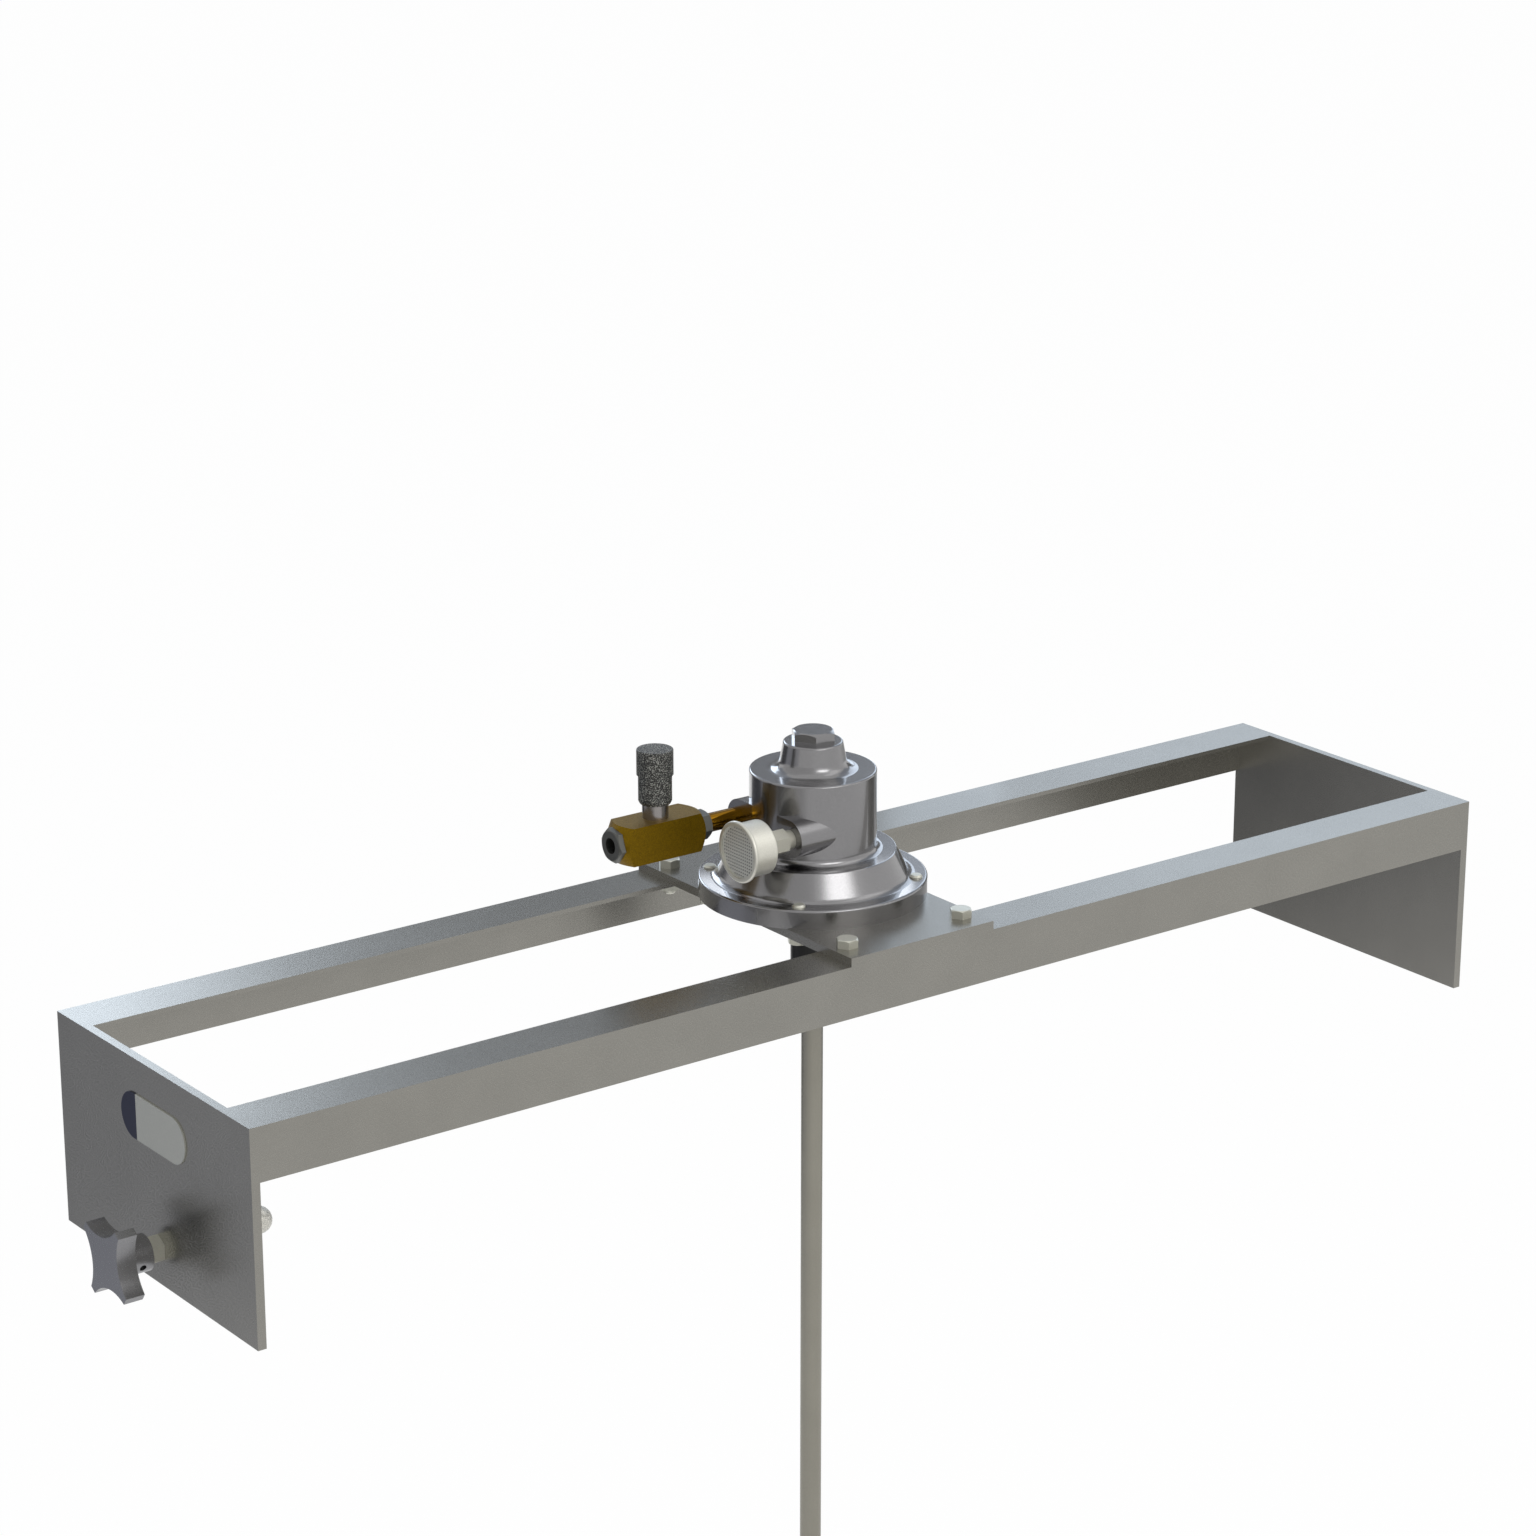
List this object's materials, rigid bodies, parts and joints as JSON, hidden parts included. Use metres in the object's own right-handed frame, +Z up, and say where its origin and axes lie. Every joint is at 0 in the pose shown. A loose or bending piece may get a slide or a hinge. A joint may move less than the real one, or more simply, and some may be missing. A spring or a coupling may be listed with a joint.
{
  "type": "tank agitator",
  "caption": "Air-driven tank agitator on a steel bridge for a bulk tote, with clamp screw, speed valve, muffler and a folding impeller.",
  "frame": {"origin": "middle of the plane of the two rails' lower edges, under the motor's axis, where the bridge rests on the tote's rim", "axes": "+X along the bridge away from the clamp knob, +Y to the rear rail on the air inlet's side, +Z up along the motor's axis"},
  "size_m": [1.1191, 0.254, 1.1576],
  "materials": {
    "frame_steel": "satin stainless, fine blasted grain",
    "bolt_steel": "bright plated, slightly warm",
    "shaft_steel": "ground and drawn bar",
    "tip_steel": "turned, off-white satin",
    "motor_enamel": "glossy gunmetal enamel on cast iron",
    "rotor_iron": "machined",
    "vane_composite": "pressed fibre composite",
    "bearing_steel": "polished",
    "seal_rubber": "matt",
    "black_steel": "black oxide, satin",
    "impeller_steel": "satin stainless",
    "badge_metal": "bare satin plate with one dark blue end",
    "valve_brass": "matt cast and milled, speckled",
    "pipe_brass": "polished",
    "bushing_steel": "dark, turned and milled",
    "knob_plastic": "black, fine pale speckle",
    "muffler_nickel": "matt nickel plate",
    "screen_metal": "perforated sheet",
    "muffler_felt": "pressed felt"
  },
  "bodies": {
    "bridge": {"front_rail": "frame_steel", "rear_rail": "frame_steel", "left_end_plate": "frame_steel", "right_end_plate": "frame_steel", "frame_welds": "frame_steel", "motor_plate": "frame_steel", "plate_bolts": "bolt_steel", "plate_nuts": "bolt_steel", "motor_bolts": "bolt_steel", "badge_plate": "badge_metal", "clamp_nut": "frame_steel", "motor_housing": "motor_enamel", "top_plug": "bolt_steel", "drive_end_plate": "motor_enamel", "end_plate_screws": "bolt_steel", "upper_bearing": "bearing_steel", "lower_bearing": "bearing_steel", "shaft_seal": "seal_rubber", "inlet_nipple": "pipe_brass", "valve_body": "valve_brass", "valve_inlet_bushing": "bushing_steel", "valve_outlet_bushing": "bushing_steel", "valve_bonnet": "shaft_steel", "stem_seal": "seal_rubber", "muffler_can": "muffler_nickel", "muffler_screen": "screen_metal", "muffler_felt": "muffler_felt", "muffler_base": "muffler_nickel"},
    "drive_shaft": {"motor_shaft": "shaft_steel", "shaft_key": "shaft_steel", "motor_rotor": "rotor_iron", "rotor_vanes": "vane_composite", "shaft_coupling": "black_steel", "coupling_screws": "black_steel", "mixer_shaft": "shaft_steel", "impeller_hub": "impeller_steel", "impeller_set_screw": "black_steel", "blade_pins": "shaft_steel"},
    "blade_one": {"impeller_blade_one": "impeller_steel"},
    "blade_two": {"impeller_blade_two": "impeller_steel"},
    "blade_three": {"impeller_blade_three": "impeller_steel"},
    "clamp_pad": {"clamp_tip": "tip_steel"},
    "clamp_spindle": {"clamp_screw": "shaft_steel", "clamp_hub": "frame_steel", "hub_set_screw": "black_steel", "star_knob": "frame_steel"},
    "valve_pin": {"valve_needle": "shaft_steel"},
    "valve_spindle": {"valve_stem": "shaft_steel", "valve_knob": "knob_plastic", "knob_set_screw": "black_steel"}
  },
  "joints": [
    {"name": "shaft_spin", "type": "hinge", "parent": "bridge", "child": "drive_shaft", "pos_m": [0, 0, 0], "axis": [0, 0, 1], "continuous": true},
    {"name": "blade_one_swing", "type": "hinge", "parent": "drive_shaft", "child": "blade_one", "pos_m": [0, 0.025, -0.91335], "axis": [1, 0, 0], "range_deg": [0, 85]},
    {"name": "blade_two_swing", "type": "hinge", "parent": "drive_shaft", "child": "blade_two", "pos_m": [-0.02165, -0.0125, -0.91335], "axis": [-0.5, 0.866, 0], "range_deg": [0, 85]},
    {"name": "blade_three_swing", "type": "hinge", "parent": "drive_shaft", "child": "blade_three", "pos_m": [0.02165, -0.0125, -0.91335], "axis": [-0.5, -0.866, 0], "range_deg": [0, 85]},
    {"name": "clamp_travel", "type": "slide", "parent": "bridge", "child": "clamp_pad", "axis": [-1, 0, 0], "range_m": [0, 0.056]},
    {"name": "clamp_turn", "type": "hinge", "parent": "clamp_pad", "child": "clamp_spindle", "pos_m": [-0.53975, 0, -0.0889], "axis": [-1, 0, 0], "range_deg": [0, 11100]},
    {"name": "needle_lift", "type": "slide", "parent": "bridge", "child": "valve_pin", "axis": [0, 0, 1], "range_m": [0, 0.00636]},
    {"name": "valve_turn", "type": "hinge", "parent": "valve_pin", "child": "valve_spindle", "pos_m": [-0.1157, 0.0314, 0.1015], "axis": [0, 0, 1], "range_deg": [0, 1800]}
  ],
  "couplings": [
    {"joint": "clamp_travel", "follows": "clamp_turn", "m_per_rad": 0.00028875},
    {"joint": "needle_lift", "follows": "valve_turn", "m_per_rad": 0.00020213}
  ]
}
